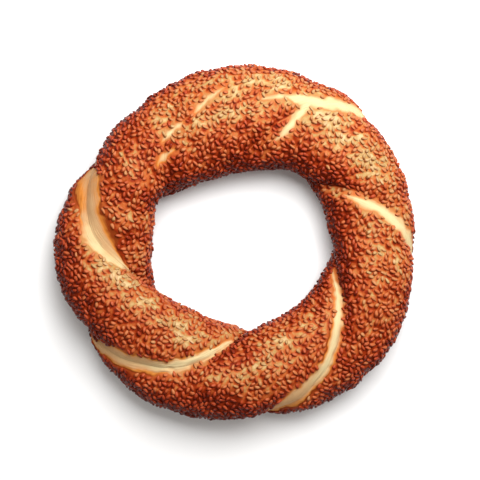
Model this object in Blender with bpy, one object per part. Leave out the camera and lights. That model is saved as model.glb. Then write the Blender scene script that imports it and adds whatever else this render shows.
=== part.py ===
"""Simit: a baked ring of two dough ropes twisted together, as one solid.

The ring lies flat on its baked base, in metres with +Z up. Its origin is the middle of its
outline, on the surface that it rests on. Angles are in degrees, turning from +X towards +Y.
"""

import bpy
import numpy as np

MM = 0.001

# Driving sizes of the ring.
RING_ANGLES = 112  # mesh columns round the ring
ROPE_ANGLES = 40  # mesh rows round the dough
GUIDE_RADIUS = 0.060  # of the plain torus that is shaped
GUIDE_THICKNESS = 0.020
SQUASH = 0.76  # height of the baked dough against its width
USUAL_ROPE = 19.5 * MM  # rope radius at which SQUASH holds; fatter dough is flatter
FLATTENING = 0.6
CENTRE_HEIGHT = 14.2 * MM  # of the twist's axis above the tray
BASE_ROUNDING = 1.6 * MM  # height over which the side rolls into the flat base
GROOVE_SPREAD = 0.26  # sine of the angle over which a seam's groove opens
ROWS_TOWARDS_SEAM = 0.35  # how far the mesh rows crowd towards the two seams

FULL_TURN = 360.0
TWIST = 3 * FULL_TURN  # the two ropes make three full turns on the way round

# The ring station by station. At each one: its angle round the ring, the angle of the first
# seam round the dough there (0 faces outwards, 90 up, 180 into the hole), the radius of the
# ring, the radius of each rope, how far each rope's axis stands off the middle of the twist,
# and the depth of the groove between them. The last four are in millimetres.
# From 317 to 455 the ends of the ropes overlap and were rolled into one.
STATIONS = (
    (149, 0, 55.6, 17.4, 3.6, 1.6),
    (181, 88, 59.7, 17.9, 4.2, 3.0),
    (207, 174, 60.0, 17.7, 4.4, 2.4),
    (228, 226, 60.0, 19.0, 4.5, 2.7),
    (250, 273, 59.6, 18.1, 4.6, 3.0),
    (270, 336, 59.6, 18.7, 4.0, 2.5),
    (290, 391, 61.3, 19.6, 3.8, 2.5),
    (317, 450, 63.2, 18.5, 3.8, 2.8),
    (352, 540, 62.5, 18.7, 2.6, 1.8),
    (377, 626, 62.0, 17.9, 1.4, 2.0),
    (397, 708, 61.7, 19.4, 1.6, 1.4),
    (411, 753, 61.6, 20.8, 1.4, 1.2),
    (427, 806, 57.6, 21.7, 1.2, 1.0),
    (455, 905, 54.3, 24.6, 0.6, 0.3),
    (486, 990, 52.9, 20.1, 1.8, 0.8),
)
SEAM, RING, ROPE, OFFSET, GROOVE = 1, 2, 3, 4, 5  # the columns of STATIONS

CRUST_COLOUR = (0.43, 0.13, 0.035, 1.0)
CRUST_ROUGHNESS = 0.55


def clear_scene():
    """Remove whatever the scene holds."""
    for old in list(bpy.data.objects):
        bpy.data.objects.remove(old, do_unlink=True)


def along_ring(column, angle):
    """Value of one column of STATIONS at each ring angle, on a smooth closed curve.

    Between two stations the curve is a cubic whose slopes at its ends are those of the
    lines that join each station's neighbours. The seam gains TWIST on each lap.
    """
    table = np.array(STATIONS, dtype=float)
    gain = TWIST if column == SEAM else 0.0
    scale = 1.0 if column == SEAM else MM
    places = np.concatenate((table[-2:, 0] - FULL_TURN, table[:, 0], table[:3, 0] + FULL_TURN))
    values = np.concatenate((table[-2:, column] - gain, table[:, column], table[:3, column] + gain))
    slopes = np.zeros_like(values)
    slopes[1:-1] = (values[2:] - values[:-2]) / (places[2:] - places[:-2])
    lap = np.floor((angle - table[0, 0]) / FULL_TURN)
    place = angle - lap * FULL_TURN
    first = np.searchsorted(places, place, side="right") - 1
    span = places[first + 1] - places[first]
    t = (place - places[first]) / span
    rise = (1 + 2 * t) * (1 - t) ** 2 * values[first] + t * t * (3 - 2 * t) * values[first + 1]
    bend = t * (1 - t) ** 2 * slopes[first] - t * t * (1 - t) * slopes[first + 1]
    return (rise + span * bend + lap * gain) * scale


def dough_radius(ring_angle, from_seam):
    """Distance from the twist's axis to the crust, at angles measured from the first seam.

    Two round ropes whose axes stand off the middle make the outline of a plump figure
    eight, and the groove sinks its two waists a little further.
    """
    rope = along_ring(ROPE, ring_angle)
    offset = along_ring(OFFSET, ring_angle)
    groove = along_ring(GROOVE, ring_angle)
    across = np.sin(np.radians(from_seam))
    along = np.cos(np.radians(from_seam))
    outline = offset * np.abs(across) + np.sqrt(rope**2 - (offset * along) ** 2)
    return outline - groove * np.exp(-((across / GROOVE_SPREAD) ** 2))


def settle(height):
    """Height above the tray once the soft dough has flattened against it.

    Far below the tray it is 0, far above it is unchanged, and a parabola joins the two.
    """
    rolled = (height + BASE_ROUNDING) ** 2 / (4 * BASE_ROUNDING)
    return np.where(height < -BASE_ROUNDING, 0.0, np.where(height < BASE_ROUNDING, rolled, height))


def shape(points):
    """Move the points of the guide torus onto the twisted ring."""
    ring_angle = np.degrees(np.arctan2(points[:, 1], points[:, 0]))
    out = np.hypot(points[:, 0], points[:, 1]) - GUIDE_RADIUS
    row = np.degrees(np.arctan2(points[:, 2], out))
    from_seam = row - np.degrees(ROWS_TOWARDS_SEAM / 2 * np.sin(2 * np.radians(row)))
    crust = dough_radius(ring_angle, from_seam)
    turned = np.radians(from_seam + along_ring(SEAM, ring_angle))
    flatter = SQUASH * (USUAL_ROPE / along_ring(ROPE, ring_angle)) ** FLATTENING
    reach = along_ring(RING, ring_angle) + crust * np.cos(turned)
    height = settle(CENTRE_HEIGHT + flatter * crust * np.sin(turned))
    bearing = np.radians(ring_angle)
    shaped = np.column_stack((reach * np.cos(bearing), reach * np.sin(bearing), height))
    middle = (shaped.min(axis=0) + shaped.max(axis=0)) / 2
    shaped[:, :2] -= middle[:2]
    return shaped


def crust_material():
    """Sesame crust baked golden brown."""
    material = bpy.data.materials.new("sesame_crust")
    material.use_nodes = True
    shader = material.node_tree.nodes["Principled BSDF"]
    shader.inputs["Base Color"].default_value = CRUST_COLOUR
    shader.inputs["Roughness"].default_value = CRUST_ROUGHNESS
    shader.inputs["Metallic"].default_value = 0.0
    return material


def make_simit(collection):
    """The whole ring, from a torus whose points are moved onto the twist."""
    bpy.ops.mesh.primitive_torus_add(
        major_segments=RING_ANGLES,
        minor_segments=ROPE_ANGLES,
        major_radius=GUIDE_RADIUS,
        minor_radius=GUIDE_THICKNESS,
    )
    ring = bpy.context.object
    ring.name = "simit"
    mesh = ring.data
    mesh.name = "simit"
    points = np.empty(len(mesh.vertices) * 3)
    mesh.vertices.foreach_get("co", points)
    mesh.vertices.foreach_set("co", shape(points.reshape(-1, 3)).ravel())
    mesh.update()
    mesh.shade_smooth()
    shorter = ring.modifiers.new("along_the_twist", "TRIANGULATE")
    shorter.quad_method = "SHORTEST_DIAGONAL"
    mesh.materials.append(crust_material())
    for home in list(ring.users_collection):
        home.objects.unlink(ring)
    collection.objects.link(ring)
    return ring


def main():
    """Build the simit in a collection of its own."""
    clear_scene()
    collection = bpy.data.collections.new("simit_ring")
    bpy.context.scene.collection.children.link(collection)
    make_simit(collection)


main()
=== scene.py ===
"""Simit: the looks of a baked ring of two dough ropes under toasted sesame.

The crust is one fine surface worked out from the twist of the two ropes. Where the dough has
torn open along its seams it shows bare and cream. Some thousands of sesame seeds lie on the
rest, each one modelled, in one joined mesh for each band of toasting and painted shade. The
colours carry painted shade on the side away from the light, and painted shadows beside the seeds.
"""

import logging
import math
from dataclasses import dataclass, field
from enum import Enum
from typing import NamedTuple

import bpy
import numpy as np
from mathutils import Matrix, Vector
from mathutils.kdtree import KDTree


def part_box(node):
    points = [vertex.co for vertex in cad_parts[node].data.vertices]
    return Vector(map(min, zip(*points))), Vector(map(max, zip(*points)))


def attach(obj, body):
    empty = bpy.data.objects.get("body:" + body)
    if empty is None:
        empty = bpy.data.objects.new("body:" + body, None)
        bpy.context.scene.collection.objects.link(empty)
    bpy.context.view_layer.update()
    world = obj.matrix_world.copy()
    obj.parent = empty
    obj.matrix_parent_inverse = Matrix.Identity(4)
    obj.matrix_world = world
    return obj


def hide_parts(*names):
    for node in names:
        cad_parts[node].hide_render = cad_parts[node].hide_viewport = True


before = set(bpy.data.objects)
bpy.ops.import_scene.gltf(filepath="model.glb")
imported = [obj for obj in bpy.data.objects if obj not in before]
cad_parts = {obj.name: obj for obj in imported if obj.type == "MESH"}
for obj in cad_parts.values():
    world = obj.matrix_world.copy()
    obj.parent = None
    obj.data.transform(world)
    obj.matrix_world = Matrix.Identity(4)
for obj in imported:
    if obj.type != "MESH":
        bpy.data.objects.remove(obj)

MM = 0.001
FULL_TURN = 360.0
LOG = logging.getLogger("simit")

Colour = tuple[float, float, float]

# The way from the bread to its side away from the key light, and a little down: what faces it is
# painted darker, as painted shade.
SHADED_WAY = np.array((-0.58, -0.64, -0.50))


# ---------------------------------------------------------------- shapes and helpers


def smooth(low: float, high: float, value: np.ndarray) -> np.ndarray:
    """Ease from 0 at low to 1 at high, as 3t^2 - 2t^3.

    Args:
        low: the value at and below which the result is 0.
        high: the value at and above which the result is 1.
        value: the numbers to ease.

    Returns:
        The eased numbers, in the shape of value.
    """
    t = np.clip((value - low) / (high - low), 0.0, 1.0)
    return t * t * (3.0 - 2.0 * t)


def unit(vectors: np.ndarray) -> np.ndarray:
    """Scale each vector of the last axis to length 1."""
    return vectors / np.linalg.norm(vectors, axis=-1, keepdims=True)


@dataclass(frozen=True)
class Ripple:
    """Smooth unevenness in space: the sum of plane waves in random directions.

    Each wave is the cosine of the distance along its direction, over its own length, plus a
    phase. The sum is divided by the root of half the number of waves, so it stays mostly
    between -1 and 1, and is then multiplied by the height.
    """

    length: float
    seed: int
    waves: int = 14
    height: float = 1.0
    between: tuple[float, float] = (0.7, 1.4)  # the shortest and longest wave over the length

    def at(self, points: np.ndarray) -> np.ndarray:
        """Height of the unevenness.

        Args:
            points: places in metres, with x, y, z along the last axis.

        Returns:
            One number for each place.
        """
        draw = np.random.default_rng(self.seed)
        turns = unit(draw.normal(size=(self.waves, 3)))
        turns *= 2 * np.pi / (self.length * draw.uniform(*self.between, (self.waves, 1)))
        phases = draw.uniform(0, 2 * np.pi, self.waves)
        total = np.cos(points @ turns.T + phases).sum(axis=-1)
        return self.height * (total / math.sqrt(self.waves / 2))


class Station(NamedTuple):
    """One place on the ring, with the twist's sizes there in millimetres."""

    ring_angle: float
    seam: float  # the first seam's angle round the dough: 0 outwards, 90 up
    ring: float  # radius of the ring
    rope: float  # radius of each rope
    offset: float  # from the middle of the twist to each rope's axis
    groove: float  # depth of the groove between the ropes


# From 317 to 455 degrees the ends of the ropes overlap and were rolled into one.
STATIONS = (
    Station(149, 0, 55.6, 17.4, 3.6, 1.6),
    Station(181, 88, 59.7, 17.9, 4.2, 3.0),
    Station(207, 174, 60.0, 17.7, 4.4, 2.4),
    Station(228, 226, 60.0, 19.0, 4.5, 2.7),
    Station(250, 273, 59.6, 18.1, 4.6, 3.0),
    Station(270, 336, 59.6, 18.7, 4.0, 2.5),
    Station(290, 391, 61.3, 19.6, 3.8, 2.5),
    Station(317, 450, 63.2, 18.5, 3.8, 2.8),
    Station(352, 540, 62.5, 18.7, 2.6, 1.8),
    Station(377, 626, 62.0, 17.9, 1.4, 2.0),
    Station(397, 708, 61.7, 19.4, 1.6, 1.4),
    Station(411, 753, 61.6, 20.8, 1.4, 1.2),
    Station(427, 806, 57.6, 21.7, 1.2, 1.0),
    Station(455, 905, 54.3, 24.6, 0.6, 0.3),
    Station(486, 990, 52.9, 20.1, 1.8, 0.8),
)


@dataclass(frozen=True)
class Twist:
    """The form of the baked dough: two ropes that make three full turns round the ring."""

    turns: float = 3.0
    squash: float = 0.76  # height of the baked dough against its width
    usual_rope: float = 19.5 * MM  # rope radius at which squash holds; fatter dough is flatter
    flattening: float = 0.6
    centre_height: float = 14.2 * MM  # of the twist's axis above the tray
    base_rounding: float = 1.6 * MM  # height over which the side rolls into the flat base
    groove_spread: float = 0.26  # sine of the angle over which a seam's groove opens

    def along(self, name: str, ring_angle: np.ndarray) -> np.ndarray:
        """One size of the twist, on a smooth closed curve through the stations.

        Between two stations the curve is a cubic whose slopes at its ends are those of the
        lines that join each station's neighbours.

        Args:
            name: which field of Station.
            ring_angle: degrees round the ring.

        Returns:
            Metres, or degrees for the seam.
        """
        gain = self.turns * FULL_TURN if name == "seam" else 0.0
        scale = 1.0 if name == "seam" else MM
        here = np.array([s.ring_angle for s in STATIONS], dtype=float)
        size = np.array([getattr(s, name) for s in STATIONS], dtype=float)
        places = np.concatenate((here[-2:] - FULL_TURN, here, here[:3] + FULL_TURN))
        values = np.concatenate((size[-2:] - gain, size, size[:3] + gain))
        slopes = np.zeros_like(values)
        slopes[1:-1] = (values[2:] - values[:-2]) / (places[2:] - places[:-2])
        lap = np.floor((ring_angle - here[0]) / FULL_TURN)
        place = ring_angle - lap * FULL_TURN
        first = np.searchsorted(places, place, side="right") - 1
        span = places[first + 1] - places[first]
        t = (place - places[first]) / span
        rise = (1 + 2 * t) * (1 - t) ** 2 * values[first] + t * t * (3 - 2 * t) * values[first + 1]
        bend = t * (1 - t) ** 2 * slopes[first] - t * t * (1 - t) * slopes[first + 1]
        return (rise + span * bend + lap * gain) * scale

    def radius(self, ring_angle: np.ndarray, from_seam: np.ndarray) -> np.ndarray:
        """Distance from the twist's axis to the dough's skin.

        Two round ropes whose axes stand off the middle make the outline of a plump figure
        eight, and the groove sinks its two waists a little further.

        Args:
            ring_angle: degrees round the ring.
            from_seam: degrees round the dough, from the first seam.

        Returns:
            Metres.
        """
        rope = self.along("rope", ring_angle)
        offset = self.along("offset", ring_angle)
        across = np.sin(np.radians(from_seam))
        level = np.cos(np.radians(from_seam))
        outline = offset * np.abs(across) + np.sqrt(rope**2 - (offset * level) ** 2)
        return outline - self.groove(ring_angle, from_seam)

    def groove(self, ring_angle: np.ndarray, from_seam: np.ndarray) -> np.ndarray:
        """Depth of the groove along each seam, which fades from it as a bell curve."""
        across = np.sin(np.radians(from_seam))
        return self.along("groove", ring_angle) * np.exp(-((across / self.groove_spread) ** 2))

    def settle(self, height: np.ndarray) -> np.ndarray:
        """Height above the tray of dough that has flattened against it.

        Far below the tray it is 0, far above it is unchanged, and a parabola joins the two.
        """
        half = self.base_rounding
        rolled = (height + half) ** 2 / (4 * half)
        return np.where(height < -half, 0.0, np.where(height < half, rolled, height))

    def place(
        self, ring_angle: np.ndarray, from_seam: np.ndarray, raised: np.ndarray | float, lift: float
    ) -> np.ndarray:
        """Points of a skin round the twist.

        Args:
            ring_angle: degrees round the ring.
            from_seam: degrees round the dough, from the first seam.
            raised: how far the skin stands off the twist's own, in metres.
            lift: height of the skin's flat base above the tray.

        Returns:
            x, y, z in metres along a new last axis, not yet centred on the origin.
        """
        skin = self.radius(ring_angle, from_seam) + raised
        turned = np.radians(from_seam + self.along("seam", ring_angle))
        rope = self.along("rope", ring_angle)
        flatter = self.squash * (self.usual_rope / rope) ** self.flattening
        reach = self.along("ring", ring_angle) + skin * np.cos(turned)
        height = lift + self.settle(self.centre_height - lift + flatter * skin * np.sin(turned))
        bearing = np.radians(ring_angle)
        return np.stack((reach * np.cos(bearing), reach * np.sin(bearing), height), axis=-1)


class Seam(Enum):
    """The two seams between the ropes, by their angle from the first."""

    FIRST = 0.0
    SECOND = 180.0


@dataclass(frozen=True)
class Split:
    """A tear where the dough opened and shows bare.

    Each mark of its course is an angle round the ring, an angle round the dough from the
    seam, the width of the tear there in millimetres, and how browned the bare dough is at
    its outer edge, its middle and its inner edge, from 0 to 1. These tones are partly how
    brown the dough really is and partly painted shade on the side that faces away from the light.
    """

    seam: Seam
    marks: tuple[tuple[float, float, float, float, float, float], ...]
    steps: int = 72

    def course(self) -> np.ndarray:
        """The tear's middle line with its width and tones, on a smooth curve through the marks.

        Returns:
            Rows like the marks, with the angles counted from the first seam and half the
            width in metres in place of the width.
        """
        marks = np.array(self.marks)
        ends = np.vstack((2 * marks[0] - marks[1], marks, 2 * marks[-1] - marks[-2]))
        s = np.linspace(0, len(marks) - 1, self.steps)
        i = np.minimum(s.astype(int), len(marks) - 2)
        t = (s - i)[:, None]
        a, b, c, d = (ends[i + k] for k in range(4))
        line = b + t / 2 * (c - a + t * (2 * a - 5 * b + 4 * c - d + t * (3 * (b - c) + d - a)))
        line[:, 1] += self.seam.value
        line[:, 2] = np.maximum(line[:, 2], 0.0) * MM / 2
        return line


# The tears, in the order in which they are met round the ring.
SPLITS = (
    Split(
        Seam.FIRST,
        (
            (149.5, 22, 2.0, 0.45, 0.45, 0.45),
            (154.5, 6, 14.6, 0.50, 0.38, 0.45),
            (158.8, 4, 17.5, 0.74, 0.46, 0.52),
            (163.0, 11, 14.4, 0.74, 0.42, 0.50),
            (167.2, 12, 13.2, 0.60, 0.34, 0.60),
            (171.8, 13, 12.8, 0.24, 0.30, 0.80),
            (176.2, 13, 13.4, 0.02, 0.36, 1.00),
            (181.0, 11, 12.2, 0.00, 0.36, 1.00),
            (186.0, 7, 9.8, 0.00, 0.25, 1.00),
            (190.8, 2, 5.4, 0.00, 0.08, 0.80),
            (195.6, 3, 1.2, 0.15, 0.10, 0.40),
        ),
    ),
    Split(
        Seam.SECOND,
        (
            (213.8, -24, 1.0, 0.40, 0.40, 0.40),
            (218.5, -11, 6.4, 0.50, 0.36, 0.40),
            (223.0, 3, 11.6, 0.66, 0.28, 0.46),
            (227.8, 2, 11.8, 0.74, 0.22, 0.50),
            (232.2, 2, 10.2, 0.80, 0.14, 0.46),
            (237.0, 2, 9.2, 0.66, 0.06, 0.46),
            (241.5, 4, 7.4, 0.20, 0.00, 0.42),
            (245.8, 7, 6.8, 0.08, 0.00, 0.38),
            (250.5, 9, 6.4, 0.05, 0.00, 0.34),
            (255.8, 9, 5.2, 0.10, 0.00, 0.38),
            (261.5, 6, 3.5, 0.10, 0.00, 0.30),
            (268.0, 3, 1.6, 0.20, 0.10, 0.30),
        ),
    ),
    Split(
        Seam.FIRST,
        (
            (275.5, 1, 1.0, 0.45, 0.45, 0.45),
            (280.0, 3, 7.6, 0.62, 0.48, 0.46),
            (285.0, 8, 10.6, 0.68, 0.42, 0.42),
            (290.2, 9, 10.8, 0.78, 0.34, 0.36),
            (294.8, 7, 10.0, 0.80, 0.24, 0.32),
            (299.2, 6, 8.8, 0.74, 0.14, 0.34),
            (303.8, 5, 7.4, 0.60, 0.06, 0.42),
            (308.0, 7, 7.0, 0.40, 0.00, 0.62),
            (312.5, 9, 7.0, 0.30, 0.00, 0.70),
            (317.2, 9, 6.2, 0.26, 0.00, 0.58),
            (322.0, 8, 5.3, 0.20, 0.00, 0.34),
            (327.2, 8, 4.8, 0.20, 0.00, 0.30),
            (332.5, 8, 4.0, 0.22, 0.05, 0.30),
            (338.2, 8, 2.3, 0.28, 0.10, 0.30),
            (343.0, 8, 0.8, 0.30, 0.25, 0.30),
        ),
    ),
    Split(
        Seam.SECOND,
        (
            (353.0, -18, 2.3, 0.35, 0.25, 0.30),
            (357.5, -12, 6.8, 0.28, 0.08, 0.22),
            (361.2, 2, 7.5, 0.22, 0.00, 0.15),
            (364.8, 6, 6.9, 0.22, 0.00, 0.12),
            (368.2, 8, 6.3, 0.22, 0.00, 0.12),
            (371.8, 11, 5.8, 0.22, 0.00, 0.12),
            (375.0, 14, 4.8, 0.22, 0.00, 0.15),
            (378.2, 16, 3.8, 0.22, 0.00, 0.20),
            (382.5, 15, 1.2, 0.30, 0.15, 0.30),
        ),
    ),
    Split(
        Seam.FIRST,
        (
            (402.4, -14, 2.0, 0.30, 0.20, 0.20),
            (406.2, 0, 9.2, 0.20, 0.04, 0.10),
            (410.0, 5, 8.3, 0.15, 0.00, 0.08),
            (413.5, 5, 7.2, 0.12, 0.00, 0.08),
            (417.5, -2, 6.2, 0.10, 0.00, 0.08),
            (421.5, -10, 5.6, 0.10, 0.00, 0.08),
            (425.8, -21, 4.6, 0.10, 0.00, 0.10),
            (430.2, -34, 3.4, 0.12, 0.00, 0.12),
            (434.8, -47, 2.3, 0.15, 0.05, 0.15),
            (439.0, -59, 1.0, 0.25, 0.15, 0.25),
        ),
    ),
    Split(
        Seam.FIRST,
        (
            (61.6, -11, 4.2, 0.05, 0.00, 0.05),
            (62.2, -1, 4.2, 0.05, 0.00, 0.05),
            (62.8, 7, 4.0, 0.10, 0.00, 0.05),
            (63.5, 15, 3.6, 0.12, 0.00, 0.08),
            (64.5, 21, 3.3, 0.12, 0.00, 0.10),
            (65.8, 26, 2.9, 0.15, 0.05, 0.12),
            (68.2, 28, 1.2, 0.25, 0.15, 0.25),
        ),
    ),
    Split(
        Seam.SECOND,
        (
            (93.5, 57, 0.6, 0.30, 0.25, 0.30),
            (97.5, 51, 1.7, 0.15, 0.05, 0.15),
            (100.0, 46, 2.7, 0.10, 0.00, 0.10),
            (102.5, 43, 2.7, 0.10, 0.00, 0.10),
            (105.0, 40, 1.9, 0.15, 0.05, 0.15),
            (107.5, 37, 0.8, 0.30, 0.25, 0.30),
        ),
    ),
    Split(
        Seam.SECOND,
        (
            (113.8, 25, 0.8, 0.30, 0.25, 0.30),
            (116.0, 20, 2.3, 0.15, 0.05, 0.15),
            (118.5, 14, 3.5, 0.12, 0.00, 0.12),
            (121.5, 7, 3.3, 0.12, 0.00, 0.12),
            (124.0, 1, 2.1, 0.18, 0.05, 0.18),
            (126.5, -5, 0.8, 0.30, 0.25, 0.30),
        ),
    ),
    Split(
        Seam.SECOND,
        (
            (122.8, 24, 0.8, 0.45, 0.40, 0.45),
            (125.0, 17, 2.1, 0.35, 0.25, 0.35),
            (127.8, 8, 3.1, 0.30, 0.20, 0.35),
            (130.5, -1, 3.3, 0.30, 0.20, 0.35),
            (133.5, -11, 2.3, 0.38, 0.30, 0.40),
            (136.5, -20, 0.8, 0.45, 0.40, 0.45),
        ),
    ),
)


@dataclass(frozen=True)
class Streak:
    """A line along a crest where the dough stretched as it rose, so its crust stayed pale.

    Each mark is an angle round the ring, an angle round the dough from its outer side, the
    streak's half width in millimetres and how pale it is: 1 on a crest, and more where the
    crust nearly tore.
    """

    marks: tuple[tuple[float, float, float, float], ...]
    fading: float = 0.6  # steps from mark to mark over which each end fades in

    def at(self, twist: Twist, points: np.ndarray, middle: np.ndarray) -> np.ndarray:
        """How pale the streak leaves each point: most on its line, fading as a bell curve.

        Args:
            twist: the dough it runs along.
            points: places on the skin, n by 3.
            middle: where the ring is centred before it is moved to the origin.

        Returns:
            One number for each point, 0 where the streak doesn't reach.
        """
        marks = np.array(self.marks)
        ring = marks[:, 0]
        line = twist.place(ring, marks[:, 1] - twist.along("seam", ring), 0.0, 0.0) - middle
        gap, step = distance_to_course(points, line)
        place = np.arange(len(marks))
        width = np.interp(step, place, marks[:, 2]) * MM
        to_end = len(marks) - 1 - step
        ends = smooth(0.0, self.fading, step) * smooth(0.0, self.fading, to_end)
        return np.interp(step, place, marks[:, 3]) * ends * np.exp(-((gap / width) ** 2))


# The streaks along the crests, then the fainter ones beside them: one on the outer flank,
# and three on the flank towards the hole.
STREAKS = (
    Streak(
        (
            (172, 60, 4, 0.6),
            (182, 82, 5, 1.0),
            (190, 99, 6, 1.0),
            (198, 111, 5, 0.9),
            (206, 119, 5, 0.9),
            (218, 123, 5, 0.8),
            (231, 125, 5, 0.9),
            (247, 127, 6, 1.0),
            (258, 130, 6, 0.9),
            (266, 128, 5, 0.6),
        )
    ),
    Streak(
        (
            (322, 138, 4, 0.4),
            (314, 133, 5, 0.6),
            (306, 126, 6, 0.65),
            (297, 118, 6, 0.7),
            (288, 111, 6, 0.7),
            (278, 101, 6, 0.7),
            (268, 88, 6, 0.6),
            (256, 70, 6, 0.5),
        )
    ),
    Streak(
        (
            (16, 104, 5, 0.4),
            (8, 101, 6, 0.5),
            (355, 96, 6, 0.5),
            (340, 89, 6, 0.4),
            (325, 77, 5, 0.3),
        )
    ),
    Streak(
        (
            (134, 84, 6, 0.4),
            (123, 80, 8, 0.7),
            (112, 78, 9, 0.8),
            (102, 80, 10, 0.9),
            (91, 78, 11, 1.0),
            (80, 74, 10, 1.0),
            (70, 72, 8, 1.0),
        )
    ),
    Streak(
        (
            (66, 70, 6, 1.0),
            (60, 67, 8, 1.0),
            (51, 70, 9, 1.0),
            (42, 72, 9, 0.9),
            (33, 72, 9, 0.9),
            (24, 70, 8, 0.8),
            (14, 64, 6, 0.6),
        )
    ),
    Streak(
        (
            (66, 74, 4, 1.2),
            (62, 75, 5, 1.7),
            (57, 74, 5, 1.7),
            (51, 73, 5, 1.5),
            (46, 69, 5, 1.3),
            (41, 66, 5, 1.2),
            (36, 66, 4, 1.0),
        )
    ),
    Streak(
        (
            (83, 72, 3, 1.0),
            (79, 71, 4, 1.3),
            (75, 69, 4, 1.5),
            (71, 67, 4, 1.5),
            (66, 66, 3, 1.2),
        )
    ),
    Streak(
        (
            (126, 52, 8, 0.4),
            (112, 52, 9, 0.7),
            (100, 52, 9, 0.8),
            (88, 52, 9, 0.9),
            (76, 50, 8, 0.9),
            (66, 50, 7, 0.7),
            (54, 50, 7, 0.4),
        )
    ),
    Streak(
        (
            (145, 150, 8, 0.25),
            (160, 150, 9, 0.45),
            (178, 146, 9, 0.45),
            (195, 146, 8, 0.4),
            (212, 150, 7, 0.2),
        )
    ),
    Streak(
        (
            (232, 146, 7, 0.3),
            (250, 148, 8, 0.4),
            (270, 148, 8, 0.35),
            (310, 148, 8, 0.35),
            (328, 148, 7, 0.2),
        )
    ),
    Streak(
        (
            (92, 140, 8, 0.2),
            (70, 142, 8, 0.35),
            (50, 142, 8, 0.4),
            (30, 142, 8, 0.35),
            (14, 145, 7, 0.2),
        )
    ),
)


def distance_to_course(points: np.ndarray, line: np.ndarray) -> tuple[np.ndarray, np.ndarray]:
    """Shortest distance from each point to a line of straight steps.

    Args:
        points: places, n by 3.
        line: the line's own points, m by 3.

    Returns:
        The distance, and how far along the line its nearest place is, in steps.
    """
    start = line[:-1]
    step = line[1:] - start
    away = points[:, None, :] - start[None]
    t = np.clip((away * step).sum(-1) / (step * step).sum(-1), 0.0, 1.0)
    gap = np.linalg.norm(away - t[..., None] * step, axis=-1)
    best = gap.argmin(axis=1)
    row = np.arange(len(points))
    return gap[row, best], best + t[row, best]


def add_mesh(
    name: str, points: np.ndarray, faces: np.ndarray, material: bpy.types.Material
) -> bpy.types.Object:
    """A smooth mesh object from arrays, at the origin.

    Args:
        name: the object's name.
        points: n by 3, in metres.
        faces: point numbers, one row for each face, all with as many corners.
        material: what the object is made of.

    Returns:
        The new object, linked to the scene.
    """
    mesh = bpy.data.meshes.new(name)
    mesh.vertices.add(len(points))
    mesh.vertices.foreach_set("co", np.ascontiguousarray(points, dtype=np.float32).ravel())
    mesh.loops.add(faces.size)
    mesh.loops.foreach_set("vertex_index", faces.astype(np.int32).ravel())
    mesh.polygons.add(len(faces))
    starts = np.arange(len(faces), dtype=np.int32) * faces.shape[1]
    mesh.polygons.foreach_set("loop_start", starts)
    mesh.update(calc_edges=True)
    mesh.shade_smooth()
    mesh.materials.append(material)
    ob = bpy.data.objects.new(name, mesh)
    bpy.context.scene.collection.objects.link(ob)
    return ob


def add_number(ob: bpy.types.Object, name: str, values: np.ndarray) -> None:
    """Store one number for each point of a mesh, for its material to read."""
    layer = ob.data.attributes.new(name, "FLOAT", "POINT")
    layer.data.foreach_set("value", np.ascontiguousarray(values, dtype=np.float32).ravel())


def add_map(ob: bpy.types.Object, places: np.ndarray) -> None:
    """Give a mesh its flat map, with one place for each corner of each face."""
    layer = ob.data.uv_layers.new(name="OFBake")
    layer.data.foreach_set("uv", np.ascontiguousarray(places, dtype=np.float32).ravel())


# ---------------------------------------------------------------- finishes


class Laying(Enum):
    """How one colour is laid on another."""

    OVER = "MIX"
    GLAZED = "MULTIPLY"


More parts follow.
